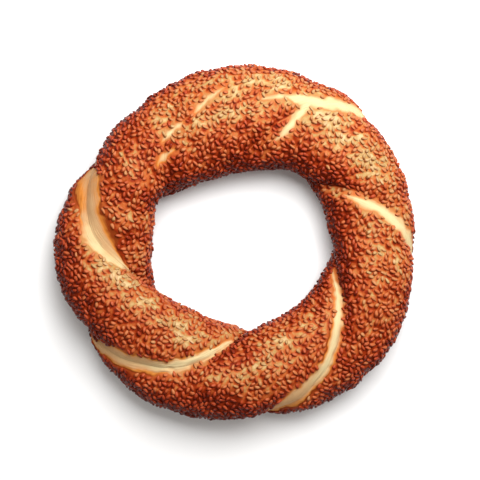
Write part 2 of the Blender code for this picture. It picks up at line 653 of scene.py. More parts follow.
class Bench:
    """Puts a material's nodes together: each method adds one node and returns its result."""

    def __init__(self, name: str) -> None:
        """Start a material with nothing in it but its Principled shader."""
        self.material = bpy.data.materials.new(name)
        self.material.use_nodes = True
        self.tree = self.material.node_tree
        self.shader = self.tree.nodes["Principled BSDF"]

    def feed(self, socket: bpy.types.NodeSocket, value: object) -> None:
        """Link a result to a socket, or set a plain value on it."""
        if isinstance(value, bpy.types.NodeSocket):
            self.tree.links.new(value, socket)
        elif isinstance(value, tuple) and len(value) == 3 and socket.type == "RGBA":
            socket.default_value = (*value, 1.0)
        else:
            socket.default_value = value

    def place(self) -> bpy.types.NodeSocket:
        """The point's place on the object, in metres."""
        return self.tree.nodes.new("ShaderNodeTexCoord").outputs["Object"]

    def number(self, name: str) -> bpy.types.NodeSocket:
        """One of the mesh's stored numbers."""
        node = self.tree.nodes.new("ShaderNodeAttribute")
        node.attribute_name = name
        return node.outputs["Fac"]

    def noise(
        self, at: bpy.types.NodeSocket, scale: float, detail: float = 3.0, rough: float = 0.55
    ) -> bpy.types.NodeSocket:
        """Cloudy noise from 0 to 1, about 0.5.

        Args:
            at: where it is read.
            scale: its clouds in each metre.
            detail: how many times it is laid over itself at half the size.
            rough: how strong each finer layer is.

        Returns:
            The noise's number.
        """
        node = self.tree.nodes.new("ShaderNodeTexNoise")
        self.feed(node.inputs["Vector"], at)
        node.inputs["Scale"].default_value = scale
        node.inputs["Detail"].default_value = detail
        node.inputs["Roughness"].default_value = rough
        return node.outputs["Fac"]

    def pits(self, at: bpy.types.NodeSocket, scale: float) -> bpy.types.NodeSocket:
        """Distance to the nearest of many scattered points, in cells."""
        node = self.tree.nodes.new("ShaderNodeTexVoronoi")
        self.feed(node.inputs["Vector"], at)
        node.inputs["Scale"].default_value = scale
        return node.outputs["Distance"]

    def math(self, kind: str, a: object, b: object = 0.0, c: object = 0.0) -> bpy.types.NodeSocket:
        """One sum, such as ADD or MULTIPLY_ADD, of numbers or results."""
        node = self.tree.nodes.new("ShaderNodeMath")
        node.operation = kind
        for socket, value in zip(node.inputs, (a, b, c)):
            self.feed(socket, value)
        return node.outputs[0]

    def ease(
        self, value: object, low: object, high: object, start: float = 0.0, end: float = 1.0
    ) -> bpy.types.NodeSocket:
        """Carry a number smoothly from low..high to start..end, and hold it there.

        Args:
            value: the number that is read.
            low: where the result starts to change.
            high: where it has changed.
            start: the result at low.
            end: the result at high.

        Returns:
            The eased number.
        """
        node = self.tree.nodes.new("ShaderNodeMapRange")
        node.interpolation_type = "SMOOTHSTEP"
        parts = {"Value": value, "From Min": low, "From Max": high, "To Min": start, "To Max": end}
        for name, part in parts.items():
            self.feed(node.inputs[name], part)
        return node.outputs["Result"]

    def blend(
        self, share: object, a: object, b: object, laid: Laying = Laying.OVER
    ) -> bpy.types.NodeSocket:
        """Two colours mixed.

        Args:
            share: how much of b.
            a: the colour under it.
            b: the colour over it.
            laid: how b is laid on a.

        Returns:
            The mixed colour.
        """
        node = self.tree.nodes.new("ShaderNodeMix")
        node.data_type = "RGBA"
        node.blend_type = laid.value
        under, over, mixed = node.inputs[6], node.inputs[7], node.outputs[2]  # those for colour
        self.feed(node.inputs["Factor"], share)
        self.feed(under, a)
        self.feed(over, b)
        return mixed

    def ramp(self, value: object, stops: tuple[tuple[float, Colour], ...]) -> bpy.types.NodeSocket:
        """Colour read off a scale of stops.

        Args:
            value: the number that is read.
            stops: places from 0 to 1, each with its colour.

        Returns:
            The colour there.
        """
        node = self.tree.nodes.new("ShaderNodeValToRGB")
        self.feed(node.inputs["Fac"], value)
        scale = node.color_ramp
        while len(scale.elements) < len(stops):
            scale.elements.new(0.5)
        for element, (place, colour) in zip(scale.elements, stops):
            element.position = place
            element.color = (*colour, 1.0)
        return node.outputs["Color"]

    def flat_place(self, along: object, across: object) -> bpy.types.NodeSocket:
        """A place put together from how far along and how far across it is."""
        node = self.tree.nodes.new("ShaderNodeCombineXYZ")
        self.feed(node.inputs["X"], along)
        self.feed(node.inputs["Y"], across)
        return node.outputs["Vector"]

    def bump(self, height: object, depth: float) -> bpy.types.NodeSocket:
        """A normal bumped by a height of about 1, where 1 is the depth in metres."""
        node = self.tree.nodes.new("ShaderNodeBump")
        node.inputs["Distance"].default_value = depth
        self.feed(node.inputs["Height"], height)
        return node.outputs["Normal"]

    def finish(self, **inputs: object) -> bpy.types.Material:
        """Set the shader's sockets, named with _ for a space, and return the material."""
        for name, value in inputs.items():
            self.feed(self.shader.inputs[name.replace("_", " ")], value)
        return self.material


@dataclass(frozen=True)
class CrustFinish:
    """Glazed crust that is paler on its crowns, with bare dough in its tears.

    The crust browns from pale to dark, and the bare dough from cream to brown; both tones also carry
    painted shade on the side away from the light.
    """

    pale: Colour = (0.57, 0.385, 0.195)
    golden: Colour = (0.40, 0.234, 0.080)
    honey: Colour = (0.43, 0.100, 0.023)
    amber: Colour = (0.24, 0.022, 0.0032)
    dark: Colour = (0.095, 0.007, 0.0009)
    cream: Colour = (0.60, 0.475, 0.255)
    straw: Colour = (0.575, 0.37, 0.177)
    tan: Colour = (0.51, 0.278, 0.128)
    toffee: Colour = (0.55, 0.190, 0.032)
    brown: Colour = (0.20, 0.030, 0.004)

    clouds: float = 150.0  # broad clouds of tone, in each metre
    mottle: float = 700.0  # small clouds, in each metre
    pores: float = 900.0  # in each metre
    evening: float = 0.13  # taken off the stored crust tone, as the painted shadows beside the seeds add to it
    cloud_bake: float = 0.22  # how far the clouds move the bake
    mottle_bake: float = 0.40
    # how far the painted shadow beside each seed darkens the crust
    shadow_bake: float = 0.55
    lip: tuple[float, float] = (-3.2, -0.1)  # where a tear's lip sets in, and where it is full
    lip_share: float = 0.90  # how far the lip takes on the tone of the dough beside it
    lip_bake: tuple[float, float] = (0.36, 0.40)  # at tone 0, and what tone 1 adds
    strands: tuple[float, float] = (0.055, 0.9)  # in each millimetre, along and across
    strand_noise: float = 1.1
    strand_tone: float = 0.22  # how far the strands move the dough's tone
    cloud_tone: float = 0.30
    raggedness: float = 1.1  # of a tear's edge, in millimetres
    edge: tuple[float, float] = (-0.45, 0.55)  # millimetres over which crust gives way to dough
    rind: tuple[float, float] = (1.6, 0.30)  # its width in millimetres, and how much browner
    relief: float = 0.30 * MM
    pore_share: float = 0.5
    glaze_roughness: float = 0.34
    dough_roughness: float = 0.62

    def crust_colour(self, b: Bench, cloudy: object, mottled: object) -> bpy.types.NodeSocket:
        """Colour of the browned skin.

        The stored tone of the crust, which carries painted shade, is moved by clouds, mottling
        and the painted shadows beside the seeds. Near a tear it is drawn towards the tone of the
        dough that shows there.

        Args:
            b: the bench the material is on.
            cloudy: the clouds, about 0.
            mottled: the mottling, about 0.

        Returns:
            The colour.
        """
        stored = b.math("SUBTRACT", b.number("bake"), self.evening)
        bake = b.math("MULTIPLY_ADD", cloudy, self.cloud_bake, stored)
        bake = b.math("MULTIPLY_ADD", mottled, self.mottle_bake, bake)
        bake = b.math("MULTIPLY_ADD", b.number("painted_shade"), self.shadow_bake, bake)
        lip = b.ease(b.number("inside"), *self.lip, end=self.lip_share)
        least, more = self.lip_bake
        alike = b.math("MULTIPLY_ADD", b.number("tone"), more, least)
        bake = b.math("MULTIPLY_ADD", lip, b.math("SUBTRACT", alike, bake), bake)
        browning_and_shade = (
            (0.00, self.pale),
            (0.28, self.golden),
            (0.50, self.honey),
            (0.74, self.amber),
            (1.00, self.dark),
        )
        return b.ramp(bake, browning_and_shade)

    def dough_colour(self, b: Bench, cloudy: object, fibre: object) -> bpy.types.NodeSocket:
        """Colour of the bare dough: the stored tone, moved by clouds and strands, with a rind.

        Args:
            b: the bench the material is on.
            cloudy: the clouds, about 0.
            fibre: the strands that were pulled out across the tear, from 0 to 1.

        Returns:
            The colour.
        """
        tone = b.math("MULTIPLY_ADD", cloudy, self.cloud_tone, b.number("tone"))
        tone = b.math("MULTIPLY_ADD", b.math("SUBTRACT", fibre, 0.5), self.strand_tone, tone)
        width, browner = self.rind
        rind = b.ease(b.number("inside"), 0.0, width, start=browner, end=0.0)
        toning = (
            (0.00, self.cream),
            (0.22, self.straw),
            (0.42, self.tan),
            (0.64, self.toffee),
            (0.93, self.brown),
        )
        return b.ramp(b.math("ADD", tone, rind), toning)

    def material(self) -> bpy.types.Material:
        """Browned skin, and bare dough where the stored depth into a tear is above 0."""
        b = Bench("simit_crust")
        place = b.place()
        mottle = b.noise(place, self.mottle, detail=4.0, rough=0.6)
        cloudy = b.math("SUBTRACT", b.noise(place, self.clouds), 0.5)
        mottled = b.math("SUBTRACT", mottle, 0.5)

        lengthwise, crosswise = self.strands
        along = b.math("MULTIPLY", b.number("lengthwise"), lengthwise)
        across = b.math("MULTIPLY", b.number("across"), crosswise)
        fibre = b.noise(b.flat_place(along, across), self.strand_noise, rough=0.6)
        ragged = b.math("MULTIPLY_ADD", mottled, self.raggedness, b.number("inside"))
        bare = b.ease(ragged, *self.edge)

        crust = self.crust_colour(b, cloudy, mottled)
        dough = self.dough_colour(b, cloudy, fibre)
        skin = b.math("MULTIPLY_ADD", b.pits(place, self.pores), self.pore_share, mottle)
        glaze, matt = self.glaze_roughness, self.dough_roughness
        return b.finish(
            Base_Color=b.blend(bare, crust, dough),
            Roughness=b.ease(bare, 0.0, 1.0, start=glaze, end=matt),
            Normal=b.bump(b.blend(bare, skin, fibre), self.relief),
            Specular_IOR_Level=0.04,
        )


@dataclass(frozen=True)
class SeedFinish:
    """Sesame on one scale of toasting and painted shade, from barely coloured to dark, with painted
    shade on one side.
    """

    name: str
    roughness: float
    shade_tint: Colour = (0.42, 0.19, 0.08)  # painted shade: what is left of each part of the light on the side away from it
    # Colours by stored toasting and painted shade, from barely coloured to darkest on the shaded side.
    toasting: tuple[tuple[float, Colour], ...] = (
        (0.00, (0.54, 0.325, 0.165)),
        (0.20, (0.405, 0.248, 0.103)),
        (0.50, (0.45, 0.130, 0.043)),
        (0.75, (0.37, 0.053, 0.015)),
        (0.88, (0.26, 0.030, 0.008)),
        (1.00, (0.15, 0.014, 0.004)),
    )
    flecks: float = 1600.0  # in each metre
    fleck_toast: float = 0.18  # how far the flecks move the toasting and painted shade
    fleck_shade_edge: float = 0.5  # and the edge of the painted shade
    fleck_gloss: float = 0.30
    shading_span: tuple[float, float] = (0.10, 0.90)  # stored painted shade where it starts and is full
    relief: float = 0.12 * MM

    def material(self) -> bpy.types.Material:
        """Tone follows the seed's stored toasting and painted shade, and its side away from the light
        is painted darker.
        """
        b = Bench(self.name)
        flecks = b.noise(b.place(), self.flecks, rough=0.6)
        flecked = b.math("SUBTRACT", flecks, 0.5)
        toast_and_shade = b.math("MULTIPLY_ADD", flecked, self.fleck_toast, b.number("toast_and_shade"))
        body = b.ramp(toast_and_shade, self.toasting)
        painted_shade = b.math("MULTIPLY_ADD", flecked, self.fleck_shade_edge, b.number("painted_shade"))
        edge = b.ease(painted_shade, *self.shading_span)
        return b.finish(
            Base_Color=b.blend(edge, body, self.shade_tint, Laying.GLAZED),
            Roughness=b.math("MULTIPLY_ADD", flecked, self.fleck_gloss, self.roughness),
            Normal=b.bump(flecks, self.relief),
            Specular_IOR_Level=0.12,
        )


@dataclass(frozen=True)
class TableFinish:
    """A plain white table top."""

    colour: Colour = (0.93, 0.93, 0.93)
    duller: Colour = (0.90, 0.90, 0.90)
    grain: float = 40.0  # patches in each metre
    grain_share: float = 0.02

    def material(self) -> bpy.types.Material:
        """White with the faintest unevenness."""
        b = Bench("white_table")
        grain = b.math("MULTIPLY", b.noise(b.place(), self.grain), self.grain_share)
        tone = b.blend(grain, self.colour, self.duller)
        return b.finish(Base_Color=tone, Roughness=0.7, Specular_IOR_Level=0.2)


# ---------------------------------------------------------------- the crust


@dataclass
class Crust:
    """The dough's skin under the sesame, as one closed surface."""

    twist: Twist
    finish: CrustFinish
    columns: int = 480
    rows: int = 206
    crowding: float = 0.5  # how far the rows crowd towards the seams
    coat: float = 0.55 * MM  # room left for the sesame

    # The relief, with the distances into a tear over which its parts set in.
    lumps: Ripple = Ripple(16 * MM, 21, height=0.32 * MM)
    dimples: Ripple = Ripple(4.5 * MM, 22, 24, height=0.11 * MM)
    tear_depth: float = 0.25 * MM
    tear_side: tuple[float, float] = (-0.5 * MM, 0.7 * MM)
    ridge_height: float = 0.07 * MM
    ridge_spacing: float = 1.35 * MM
    ridge_least: float = 0.6
    ridge_swell: Ripple = Ripple(8 * MM, 24, height=0.5)
    ridge_sway: Ripple = Ripple(9 * MM, 23, height=0.5 * MM)
    crease_depth: float = 0.13 * MM
    crease_width: float = 0.7 * MM
    stretched_out: float = 0.66  # share of the groove that goes where the dough tore
    stretched_over: tuple[float, float] = (-1.5 * MM, 3.0 * MM)

    # The tears' edges and tones.
    wander: Ripple = Ripple(7 * MM, 11, height=0.4 * MM)
    fray: Ripple = Ripple(2.6 * MM, 12, height=0.2 * MM)
    wandering: float = 2.0 * MM  # half width of a tear from which its edge wanders in full
    tear_reach: float = 12 * MM  # how far round a tear its distance is worked out
    far_out: float = -1.0  # what counts as metres into a tear where none is near
    least_gap: float = 0.1 * MM  # half width that a tear at least counts with
    edge_tone: tuple[float, float] = (0.10, 0.85)  # shares of the way out where it sets in

    # The brown tone and painted shade, before the painted shadows beside the seeds.
    oven: float = 1.11  # the bake before anything makes it paler
    crown: tuple[float, float] = (0.35, 1.0)  # how far up the crust faces, where it is paler; the darker flanks are partly painted shade
    crown_paler: float = 0.335
    streak_paler: float = 0.38
    streak_patches: Ripple = Ripple(9 * MM, 33)
    streak_shows: tuple[float, float] = (-1.8, 0.7)  # patches between which a streak shows
    base: tuple[float, float] = (0.4, 1.0)  # how far down it faces, where the tray shields it
    base_paler: float = 0.45
    painted_shade_share: float = 0.42  # how much darker the side away from the light is: painted shade
    broad: Ripple = Ripple(22 * MM, 31, height=0.06)
    clumps: Ripple = Ripple(4.8 * MM, 32, 30, height=0.08)

    # The painted shadow beside each seed, worked out over this many steps of the grid each way.
    shadow_columns: int = 4
    shadow_rows: int = 6

    points: np.ndarray = field(init=False)
    normals: np.ndarray = field(init=False)
    inside: np.ndarray = field(init=False)  # metres into the nearest tear, below 0 outside
    lengthwise: np.ndarray = field(init=False)  # metres along the nearest tear
    across: np.ndarray = field(init=False)  # metres round the dough from the nearest seam
    tone: np.ndarray = field(init=False)  # how browned bare dough is, with painted shade, 0 to 1
    bake: np.ndarray = field(init=False)  # how brown the crust is, with painted shade, 0 to 1

    def angles(self) -> tuple[np.ndarray, np.ndarray]:
        """Ring angles and angles from the first seam, as two grids.

        The rows' angles are shifted by the sine of twice themselves, so they crowd towards
        both seams.
        """
        ring = np.arange(self.columns) * FULL_TURN / self.columns
        row = np.arange(self.rows) * FULL_TURN / self.rows
        row = row - np.degrees(self.crowding / 2 * np.sin(2 * np.radians(row)))
        return np.meshgrid(ring, row, indexing="ij")

    def tears(self, skin: np.ndarray, from_seam: np.ndarray, middle: np.ndarray) -> None:
        """Work out how far each point is inside a tear, how far along it, and its tone.

        The edge of a tear is where the distance to its middle line equals half its width
        there, and it wanders by the ripples. Between middle and edge the tone eases from the
        one to the other.

        Args:
            skin: the skin's points.
            from_seam: the points' angles from the first seam.
            middle: where the whole ring is centred before it is moved to the origin.
        """
        flat = skin.reshape(-1, 3)
        wander = self.wander.at(flat) + self.fray.at(flat)
        inside = np.full(len(flat), self.far_out)
        lengthwise = np.zeros(len(flat))
        tone = np.zeros(len(flat))
        for split in SPLITS:
            course = split.course()
            line = self.twist.place(course[:, 0], course[:, 1], -self.coat, self.coat) - middle
            low, high = line.min(0) - self.tear_reach, line.max(0) + self.tear_reach
            near = np.all((flat > low) & (flat < high), axis=1)
            gap, step = distance_to_course(flat[near], line)
            place = np.arange(len(course))
            width = np.interp(step, place, course[:, 2])
            depth = width - gap + wander[near] * smooth(0.0, self.wandering, width)
            steps = np.linalg.norm(np.diff(line, axis=0), axis=1)
            run = np.concatenate(([0.0], steps.cumsum()))
            turn = from_seam.ravel()[near] - np.interp(step, place, course[:, 1])
            side = np.sign((turn + 180.0) % FULL_TURN - 180.0)
            out, mid, inn = (np.interp(step, place, course[:, k]) for k in (3, 4, 5))
            half = np.maximum(gap + np.maximum(depth, 0.0), self.least_gap)
            away = smooth(*self.edge_tone, gap / half)
            better = depth > inside[near]
            chosen = np.flatnonzero(near)[better]
            inside[chosen] = depth[better]
            lengthwise[chosen] = np.interp(step, place, run)[better]
            tone[chosen] = (mid + (np.where(side > 0, inn, out) - mid) * away)[better]
        shape = skin.shape[:2]
        self.inside = inside.reshape(shape)
        self.lengthwise = lengthwise.reshape(shape)
        self.tone = tone.reshape(shape)

    def work_out(self) -> None:
        """Compute the skin's points, and what its finish and the seeds read from them.

        The relief over the plain twist is the room for the coat, broad lumps and small
        dimples, and in the tears a shallow bed, low ridges that run lengthwise and a crease
        along the seam, where the dough has stretched part of the groove flat.
        """
        ring, from_seam = self.angles()
        plain = self.twist.place(ring, from_seam, -self.coat, self.coat)
        middle = (plain.reshape(-1, 3).min(0) + plain.reshape(-1, 3).max(0)) / 2 * (1, 1, 0)
        plain = plain - middle
        self.tears(plain, from_seam, middle)
        bare = smooth(*self.tear_side, self.inside)
        turn = (from_seam + 90.0) % 180.0 - 90.0
        self.across = np.radians(turn) * self.twist.radius(ring, from_seam)
        swaying = self.across + self.ridge_sway.at(plain)
        ridges = self.ridge_height * np.cos(2 * np.pi * swaying / self.ridge_spacing)
        ridges *= self.ridge_least + self.ridge_swell.at(plain)
        crease = self.crease_depth * np.exp(-np.abs(self.across) / self.crease_width)
        rise = self.stretched_out * self.twist.groove(ring, from_seam)
        relief = self.lumps.at(plain) + self.dimples.at(plain) * (1 - bare)
        bed = bare * (ridges - crease - self.tear_depth)
        relief += bed + smooth(*self.stretched_over, self.inside) * rise
        self.points = self.twist.place(ring, from_seam, relief - self.coat, self.coat) - middle
        self.normals = self.facing(self.points)
        self.bake = self.browning_and_shade(middle)

    def facing(self, grid: np.ndarray) -> np.ndarray:
        """Outward directions of a grid that is closed both ways, square to its two steps."""
        round_ring = np.roll(grid, -1, axis=0) - np.roll(grid, 1, axis=0)
        round_dough = np.roll(grid, -1, axis=1) - np.roll(grid, 1, axis=1)
        return unit(np.cross(round_ring, round_dough))

    def browning_and_shade(self, middle: np.ndarray) -> np.ndarray:
        """How brown the crust is, with painted shade, before the painted shadows beside the seeds.

        From the oven's full brown are taken a share where the crust faces up, a share
        along the streaks, where they show through in patches, and a share on the base,
        which the tray shielded. The paler top and darker flanks are partly the crust's own tone
        and partly painted shade. The side away from the light gets more, as painted shade, and
        broad and small unevenness is added.

        Args:
            middle: where the ring is centred before it is moved to the origin.

        Returns:
            Numbers from 0, pale, to 1, dark.
        """
        crown = smooth(*self.crown, self.normals[..., 2])
        base = smooth(*self.base, -self.normals[..., 2])
        flat = self.points.reshape(-1, 3)
        pale = np.zeros(len(flat))
        for streak in STREAKS:
            pale = np.maximum(pale, streak.at(self.twist, flat, middle))
        shows = smooth(*self.streak_shows, self.streak_patches.at(self.points))
        pale = pale.reshape(crown.shape) * shows
        bake = self.oven - self.crown_paler * crown - self.streak_paler * pale
        bake = bake - self.base_paler * base + self.painted_shade_share * (self.normals @ SHADED_WAY)
        bake = bake + self.broad.at(self.points) + self.clumps.at(self.points)
        return np.clip(bake, 0.0, 1.0)

    def build(self) -> bpy.types.Object:
        """Make the mesh, splitting each four-sided step of the grid along its shorter way.

        Returns:
            The crust's object.
        """
        self.work_out()
        nu, nv = self.columns, self.rows
        number = np.arange(nu * nv).reshape(nu, nv)
        a, b = number, np.roll(number, -1, axis=0)
        c, d = np.roll(b, -1, axis=1), np.roll(number, -1, axis=1)
        quad = np.stack((a, b, c, d), axis=-1).reshape(-1, 4)
        flat = self.points.reshape(-1, 3)
        first = np.linalg.norm(flat[quad[:, 0]] - flat[quad[:, 2]], axis=1)
        second = np.linalg.norm(flat[quad[:, 1]] - flat[quad[:, 3]], axis=1)
        split = (first <= second)[:, None]
        one = np.where(split, quad[:, [0, 1, 2]], quad[:, [0, 1, 3]])
        two = np.where(split, quad[:, [0, 2, 3]], quad[:, [1, 2, 3]])
        triangles = np.stack((one, two), axis=1).reshape(-1, 3)
        ob = add_mesh("crust", flat, triangles, self.finish.material())
        add_number(ob, "bake", self.bake)
        add_number(ob, "inside", self.inside / MM)
        add_number(ob, "across", self.across / MM)
        add_number(ob, "tone", self.tone)
        add_number(ob, "lengthwise", self.lengthwise / MM)
        u, v = np.meshgrid(np.arange(nu) / nu, np.arange(nv) / nv, indexing="ij")
        low = np.stack((u, v), axis=-1).reshape(-1, 1, 2)
        corner = np.array(((0, 0), (1, 0), (1, 1), (0, 1))) / (nu, nv)
        square = low + corner[None]
        one = np.where(split[..., None], square[:, [0, 1, 2]], square[:, [0, 1, 3]])
        two = np.where(split[..., None], square[:, [0, 2, 3]], square[:, [1, 2, 3]])
        add_map(ob, np.stack((one, two), axis=1))
        return ob

    def painted_shade(self, ob: bpy.types.Object, sesame: "Sesame") -> None:
        """Paint a shadow on the crust beside each seed, on the side away from the light.

        Each seed darkens a spot as long as itself and half as wide, which fades as a bell
        curve of the distance from its middle over its half length and half width. Where
        spots overlap the darkest counts.

        Args:
            ob: the crust's object.
            sesame: the seeds that lie on it.
        """
        spot = np.zeros(self.inside.shape)
        lean = SHADED_WAY - (sesame.normals @ SHADED_WAY)[:, None] * sesame.normals
        centre = sesame.middles + sesame.beside * unit(lean)
        long, wide = sesame.axes[:, 0], sesame.axes[:, 1]
        half_long, half_wide = 0.5 * sesame.sizes[:, 0], 0.5 * sesame.sizes[:, 1]
        i0, j0 = np.rint(sesame.column).astype(int), np.rint(sesame.row).astype(int)
        for di in range(-self.shadow_columns, self.shadow_columns + 1):
            for dj in range(-self.shadow_rows, self.shadow_rows + 1):
                i, j = (i0 + di) % self.columns, (j0 + dj) % self.rows
                away = self.points[i, j] - centre
                u = (away * long).sum(-1) / half_long
                v = (away * wide).sum(-1) / half_wide
                np.maximum.at(spot, (i, j), np.exp(-(u**2) - v**2))
        add_number(ob, "painted_shade", spot)

    def read(self, values: np.ndarray, column: np.ndarray, row: np.ndarray) -> np.ndarray:
        """Values of the grid between its points, each a mix of the four round it.

        Args:
            values: one value or vector for each point of the grid.
            column: places along the ring, in columns.
            row: places round the dough, in rows.

        Returns:
            The mixed values.
        """
        i, j = column.astype(int), row.astype(int)
        fu, fv = column - i, row - j
        if values.ndim == 3:
            fu, fv = fu[:, None], fv[:, None]
        i, j = i % self.columns, j % self.rows
        i2, j2 = (i + 1) % self.columns, (j + 1) % self.rows
        near = values[i, j] * (1 - fv) + values[i, j2] * fv
        far = values[i2, j] * (1 - fv) + values[i2, j2] * fv
        return near * (1 - fu) + far * fu


# ---------------------------------------------------------------- the sesame


@dataclass(frozen=True)
class SeedShape:
    """One sesame seed of length, width and thickness 1, as rings of points from end to end.

    Its outline is an egg: the width is the sine of the angle along it, made fuller towards
    the blunt end. Its section is an ellipse.
    """

    rings: int = 5
    sides: int = 6
    fullness: float = 0.30  # how much wider the blunt end is
    width_power: float = 0.85  # of the sine; below 1 the seed is plumper towards its ends
    height_power: float = 0.7  # the same for its thickness

    def points(self) -> np.ndarray:
        """The blunt end, the rings one after another, and the pointed end."""
        angle = np.linspace(0, np.pi, self.rings + 2)[1:-1]
        egg = 1 + self.fullness * np.cos(angle)
        width = np.sin(angle) ** self.width_power * egg / (1 + self.fullness / 3)
        side = np.arange(self.sides) * 2 * np.pi / self.sides
        x = np.repeat(-np.cos(angle)[:, None], self.sides, axis=1)
        y = width[:, None] * np.cos(side)
        z = (np.sin(angle) ** self.height_power)[:, None] * np.sin(side)
        body = np.stack((x, y, z), axis=-1).reshape(-1, 3)
        return np.vstack(((-1.0, 0.0, 0.0), body, (1.0, 0.0, 0.0))) / 2

    def faces(self) -> np.ndarray:
        """Triangles: two fans at the ends and two for each step between rings."""
        n, s = self.sides, np.arange(self.sides)
        t = (s + 1) % n
        last = 1 + n * self.rings
        blunt = np.stack((np.zeros(n, int), 1 + t, 1 + s), axis=1)
        base = last - n
        tip = np.stack((np.full(n, last), base + s, base + t), axis=1)
        low = 1 + n * np.arange(self.rings - 1)[:, None]
        one = np.stack((low + s, low + t, low + n + t), axis=-1).reshape(-1, 3)
        two = np.stack((low + s, low + n + t, low + n + s), axis=-1).reshape(-1, 3)
        return np.vstack((blunt, one, two, tip))

    def map(self) -> np.ndarray:
        """Each face corner's place in a square: round the seed, then along it."""
        n, s = self.sides, np.arange(self.sides)
        v = np.linspace(0, 1, self.rings + 2)
        half = (s + 0.5) / n

        def corner(u: np.ndarray, ring: int) -> np.ndarray:
            """Corners at one ring, at the sides' fractions u."""
            return np.stack((u * np.ones(n), np.full(n, v[ring])), axis=-1)

        here, on = s / n, (s + 1) / n
        fans = [np.stack((corner(half, 0), corner(on, 1), corner(here, 1)), axis=1)]
        ones = [
            np.stack((corner(here, r), corner(on, r), corner(on, r + 1)), axis=1)
            for r in range(1, self.rings)
        ]
        twos = [
            np.stack((corner(here, r), corner(on, r + 1), corner(here, r + 1)), axis=1)
            for r in range(1, self.rings)
        ]
        end = self.rings
        tips = [np.stack((corner(half, end + 1), corner(here, end), corner(on, end)), axis=1)]
        return np.concatenate(fans + ones + twos + tips)


def tree_of(places: np.ndarray) -> KDTree:
    """A search tree of places, numbered in their order."""
    tree = KDTree(len(places))
    for number, place in enumerate(places):
        tree.insert(place, number)
    tree.balance()
    return tree


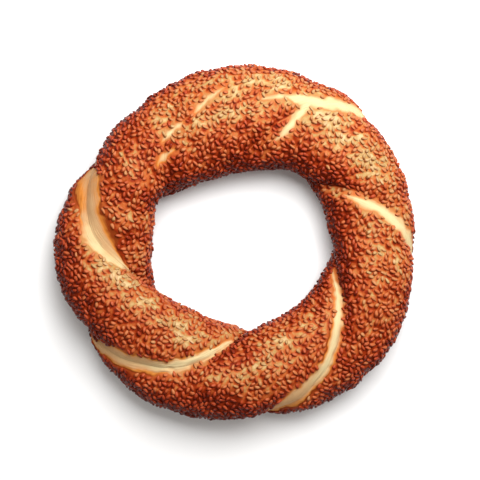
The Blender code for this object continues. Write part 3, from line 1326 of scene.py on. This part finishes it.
@dataclass
class Sesame:
    """The coat of seeds over the crust, in one joined mesh for each shade."""

    crust: Crust
    shades: tuple[SeedFinish, ...]
    shape: SeedShape = SeedShape()
    seed: int = 7
    length: tuple[float, float] = (2.9 * MM, 0.30 * MM)  # usual, and how much it varies
    width: tuple[float, float] = (1.75 * MM, 0.18 * MM)
    thickness: tuple[float, float] = (1.0 * MM, 0.12 * MM)
    size_limit: float = 2.2  # times that variation

    # Where they lie.
    tries: int = 90000
    spacing: float = 1.90 * MM
    stretched_at: tuple[float, float] = (0.15, 0.75)  # crust tone with painted shade, from fully stretched to not at all
    wider_on_pale: float = 0.16
    patches: Ripple = Ripple(11 * MM, 41)  # where the wider spacing shows
    patch_edge: tuple[float, float] = (-1.2, 0.6)
    clear_of_tear: float = 0.70 * MM
    clear_varies: float = 0.50 * MM
    strays: float = 0.001  # share of the tries that may lie in a tear
    stray_reach: float = 2.5 * MM  # and how far in

    # How they fit in between each other.
    neighbours: int = 6
    headings_tried: int = 12
    rounds: int = 4
    liking: float = 0.10  # the most that a random liking weighs, in square millimetres
    twitch: float = 0.12  # radians off the best heading

    # How they lie on the crust.
    pitch: float = 0.20  # how much seeds nod end to end, in radians
    roll: float = 0.30  # how much they lie on one edge
    tilt: float = 0.22  # how far all of them lean away from the shaded side
    lean_limit: float = 2.0  # times the usual pitch and roll
    on_edge_rise: float = 0.6  # share of its half width that a seed on edge stands up by
    sunk: float = 0.54 * MM
    sunk_in_pale: float = 0.25  # how much deeper they sit where the dough stretched
    loose: float = 0.25 * MM  # how much higher some of them lie

    # How they are toasted.
    toast_at: tuple[float, float] = (0.06, 0.90)  # on crust tone 0, and what tone 1 adds; that crust tone carries painted shade
    toast_varies: float = 0.06
    pale_share: float = 0.06  # of the seeds, which stay paler
    paler: float = 0.15
    shade_edge: tuple[float, float] = (-0.40, 0.50)  # places across a seed where its painted shade sets in and is full, 1 farthest from the light
    beside: float = 0.95 * MM  # from a seed to the painted shadow beside it
    map_margin: float = 0.04  # round each seed's own square of the flat map

    column: np.ndarray = field(init=False)  # where each lies on the crust's grid
    row: np.ndarray = field(init=False)
    stretched: np.ndarray = field(init=False)  # how pale the crust is under each, 0 to 1
    normals: np.ndarray = field(init=False)  # the crust's directions under the seeds
    middles: np.ndarray = field(init=False)
    axes: np.ndarray = field(init=False)  # each seed's length, width and up directions
    sizes: np.ndarray = field(init=False)
    toast_and_shade: np.ndarray = field(init=False)

    def scatter(self) -> None:
        """Choose where seeds lie.

        Places are drawn evenly over the crust's area, and those in a tear or too near one
        are dropped, but for a few strays. The rest are gone through in the order drawn, and
        each that is kept clears the others from round it, out to the spacing, which is
        wider where the dough stretched and stayed pale.
        """
        draw = np.random.default_rng(self.seed)
        crust = self.crust
        grid = crust.points
        step_u = np.roll(grid, -1, axis=0) - grid
        step_v = np.roll(grid, -1, axis=1) - grid
        area = np.linalg.norm(np.cross(step_u, step_v), axis=-1).ravel()
        cell = draw.choice(area.size, self.tries, p=area / area.sum())
        column = cell // crust.rows + draw.random(self.tries)
        row = cell % crust.rows + draw.random(self.tries)
        inside = crust.read(crust.inside, column, row)
        limit = -self.clear_of_tear + self.clear_varies * draw.normal(size=self.tries)
        stray = (draw.random(self.tries) < self.strays) & (inside < self.stray_reach)
        keep = (inside < np.minimum(limit, 0.0)) | stray
        column, row = column[keep], row[keep]
        places = crust.read(grid, column, row)
        stretched = 1 - smooth(*self.stretched_at, crust.read(crust.bake, column, row))
        patchy = smooth(*self.patch_edge, self.patches.at(places))
        reach = self.spacing * (1 + self.wider_on_pale * stretched * patchy)
        tree = tree_of(places)
        free = np.ones(len(places), dtype=bool)
        kept = []
        for k in range(len(places)):
            if free[k]:
                kept.append(k)
                free[[hit[1] for hit in tree.find_range(places[k], reach[k])]] = False
        self.column, self.row = column[kept], row[kept]
        self.stretched = stretched[kept]

    def headings(self, places: np.ndarray, first: np.ndarray, second: np.ndarray) -> np.ndarray:
        """Turn each seed so that it fits between its neighbours.

        Evenly spread headings are tried for each. The one that is chosen costs least: the
        squares of how far the seed's ellipse would run into those of its nearest
        neighbours, and a random liking. The rounds let the neighbours turn too.

        Args:
            places: the seeds' middles.
            first: a direction along the crust at each seed.
            second: the direction along the crust square to it.

        Returns:
            Angles from the first direction, in radians.
        """
        draw = np.random.default_rng(self.seed + 1)
        tree = tree_of(places)
        with_itself = self.neighbours + 1
        found = [[hit[1] for hit in tree.find_n(place, with_itself)] for place in places]
        near = np.array(found)[:, 1:]
        away = places[near] - places[:, None]
        gap = np.linalg.norm(away, axis=-1)
        bearing = np.arctan2((away * second[:, None]).sum(-1), (away * first[:, None]).sum(-1))
        trial = np.arange(self.headings_tried) * np.pi / self.headings_tried
        chosen = draw.uniform(0, np.pi, len(places))
        half_length, half_width = self.length[0] / 2, self.width[0] / 2

        def reach(angle: np.ndarray) -> np.ndarray:
            """The ellipse's radius at an angle from its long axis."""
            sides = np.hypot(half_width * np.cos(angle), half_length * np.sin(angle))
            return half_length * half_width / sides

        for _ in range(self.rounds):
            theirs = reach(bearing - chosen[near])
            mine = reach(bearing[:, :, None] - trial[None, None])
            overlap = np.maximum(0.0, mine + (theirs - gap)[:, :, None])
            cost = (overlap**2).sum(axis=1) / MM**2
            cost = cost + draw.random(cost.shape) * self.liking
            chosen = trial[cost.argmin(axis=1)] + draw.normal(size=len(places)) * self.twitch
        return chosen + np.pi * draw.integers(0, 2, len(places))

    def pose(self) -> None:
        """Work out each seed's middle, its three directions, its sizes and its toast."""
        draw = np.random.default_rng(self.seed + 2)
        crust = self.crust
        places = crust.read(crust.points, self.column, self.row)
        normal = unit(crust.read(crust.normals, self.column, self.row))
        round_ring = np.roll(crust.points, -1, axis=0) - crust.points
        first = crust.read(round_ring, self.column, self.row)
        first = unit(first - (first * normal).sum(-1, keepdims=True) * normal)
        second = np.cross(normal, first)
        turn = self.headings(places, first, second)[:, None]
        n = len(places)
        long = np.cos(turn) * first + np.sin(turn) * second
        lean = draw.normal(size=(n, 2)).clip(-self.lean_limit, self.lean_limit)
        lean = lean * (self.pitch, self.roll)
        up = normal + lean[:, :1] * long + lean[:, 1:] * np.cross(normal, long)
        up = unit(up - self.tilt * SHADED_WAY)
        long = unit(long - (long * up).sum(-1, keepdims=True) * up)
        self.axes = np.stack((long, np.cross(up, long), up), axis=1)
        spread = draw.normal(size=(n, 3)).clip(-self.size_limit, self.size_limit)
        usual = np.array([self.length, self.width, self.thickness])
        self.sizes = usual[:, 0] + usual[:, 1] * spread
        on_edge = np.abs(lean[:, 1]) * (self.sizes[:, 1] - self.sizes[:, 2]) / 2
        sunk = self.sunk * (1 + self.sunk_in_pale * self.stretched)
        stand = self.sizes[:, 2] / 2 + on_edge * self.on_edge_rise - sunk
        stand = stand + self.loose * draw.random(n)
        self.middles = places + normal * stand[:, None]
        self.normals = normal
        bake = crust.read(crust.bake, self.column, self.row)
        least, more = self.toast_at
        toast_and_shade = more * bake + least + self.toast_varies * draw.normal(size=n)
        toast_and_shade -= self.paler * (draw.random(n) < self.pale_share)
        self.toast_and_shade = np.clip(toast_and_shade, 0.0, 1.0)

    def build(self) -> list[bpy.types.Object]:
        """Make the joined meshes, palest seeds first.

        Returns:
            One object for each shade.
        """
        self.scatter()
        self.pose()
        order = np.argsort(self.toast_and_shade, kind="stable")
        pieces = []
        for shade, chosen in zip(self.shades, np.array_split(order, len(self.shades))):
            pieces.append(self.join(shade, chosen))
        return pieces

    def join(self, shade: SeedFinish, chosen: np.ndarray) -> bpy.types.Object:
        """One mesh of all the seeds of a shade, which lie flat where they meet the tray.

        A seed's painted shade follows how far a point is from its middle away from the light, over the
        farthest of its points. Each seed has its own square of the flat map.

        Args:
            shade: their finish.
            chosen: their numbers.

        Returns:
            The shade's object.
        """
        form, faces, corners = self.shape.points(), self.shape.faces(), self.shape.map()
        sized = form[None] * self.sizes[chosen][:, None]
        points = np.einsum("npa,nax->npx", sized, self.axes[chosen]) + self.middles[chosen][:, None]
        points[..., 2] = np.maximum(points[..., 2], 0.0)
        count = len(chosen)
        shift = np.arange(count)[:, None, None] * len(form)
        triangles = (faces[None] + shift).reshape(-1, 3)
        ob = add_mesh(shade.name, points.reshape(-1, 3), triangles, shade.material())
        add_number(ob, "toast_and_shade", np.repeat(self.toast_and_shade[chosen], len(form)))
        along_shaded_way = (points - self.middles[chosen][:, None]) @ SHADED_WAY
        reach = along_shaded_way.max(axis=1, keepdims=True)
        add_number(ob, "painted_shade", smooth(*self.shade_edge, along_shaded_way / reach))
        side = math.ceil(math.sqrt(count))
        cell = np.stack((np.arange(count) % side, np.arange(count) // side), axis=-1)
        within = self.map_margin + (1 - 2 * self.map_margin) * corners
        add_map(ob, (cell[:, None, None] + within[None]) / side)
        return ob


# ---------------------------------------------------------------- the studio


@dataclass(frozen=True)
class Studio:
    """White table, one soft key light high at the back right, white surround, camera above."""

    table: TableFinish = TableFinish()
    table_side: float = 3.0
    table_gap: float = 0.05 * MM  # under the bread, so that the two faces don't coincide
    key_bearing: float = 66.0  # degrees from +X towards +Y
    key_height: float = 59.0  # degrees above the table
    key_distance: float = 0.42
    key_power: float = 3.3  # watts
    key_side: float = 0.34
    surround: float = 0.43
    surround_tint: Colour = (1.0, 0.97, 0.93)
    lens: float = 85.0
    camera_height: float = 0.527
    aim: tuple[float, float] = (2.3 * MM, 0.7 * MM)

    def build(self, lowest: float) -> None:
        """Set up table, light and camera.

        Args:
            lowest: height of what the bread stands on.
        """
        half = self.table_side / 2
        corners = np.array(((-half, -half), (half, -half), (half, half), (-half, half)))
        points = np.column_stack((corners, np.full(4, lowest - self.table_gap)))
        add_mesh("table", points, np.array([[0, 1, 2, 3]]), self.table.material())

        lamp = bpy.data.lights.new("key", "AREA")
        lamp.energy = self.key_power
        lamp.size = self.key_side
        key = bpy.data.objects.new("key", lamp)
        key.visible_camera = False
        bearing, height = math.radians(self.key_bearing), math.radians(self.key_height)
        level = math.cos(height)
        towards = Vector((level * math.cos(bearing), level * math.sin(bearing), math.sin(height)))
        key.location = towards * self.key_distance
        key.rotation_euler = towards.to_track_quat("Z", "Y").to_euler()
        bpy.context.scene.collection.objects.link(key)

        world = bpy.data.worlds.new("surround")
        world.use_nodes = True
        sky = world.node_tree.nodes["Background"]
        sky.inputs["Color"].default_value = (*self.surround_tint, 1.0)
        sky.inputs["Strength"].default_value = self.surround
        bpy.context.scene.world = world
        bpy.context.scene.view_settings.view_transform = "Standard"

        lens = bpy.data.cameras.new("camera")
        lens.lens = self.lens
        camera = bpy.data.objects.new("camera", lens)
        camera.location = (*self.aim, self.camera_height)
        bpy.context.scene.collection.objects.link(camera)
        bpy.context.scene.camera = camera


# ---------------------------------------------------------------- the whole

# Each finish takes a quarter of the seeds by toasting and painted shade, so the darker ones hold most
# seeds on the side away from the light.
SHADES = (
    SeedFinish("sesame_pale", 0.36),
    SeedFinish("sesame_golden", 0.32),
    SeedFinish("sesame_toasted", 0.29),
    SeedFinish("sesame_dark", 0.27),
)


def settle_in(piece: bpy.types.Object) -> None:
    """Tie a piece to the bread's body, and report it.

    Args:
        piece: the finished piece.
    """
    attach(piece, "root")
    LOG.info("%s: %d points, %d faces", piece.name, len(piece.data.vertices), len(piece.data.polygons))


def main() -> None:
    """Build the bread, then the studio."""
    logging.basicConfig(level=logging.INFO, format="%(name)s %(message)s")
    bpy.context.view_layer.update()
    crust = Crust(Twist(), CrustFinish())
    skin = crust.build()
    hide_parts("simit")
    settle_in(skin)
    sesame = Sesame(crust, SHADES)
    for piece in sesame.build():
        settle_in(piece)
    crust.painted_shade(skin, sesame)
    lowest = float(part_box("simit")[0][2])
    Studio().build(lowest)


if __name__ == "__main__":
    main()
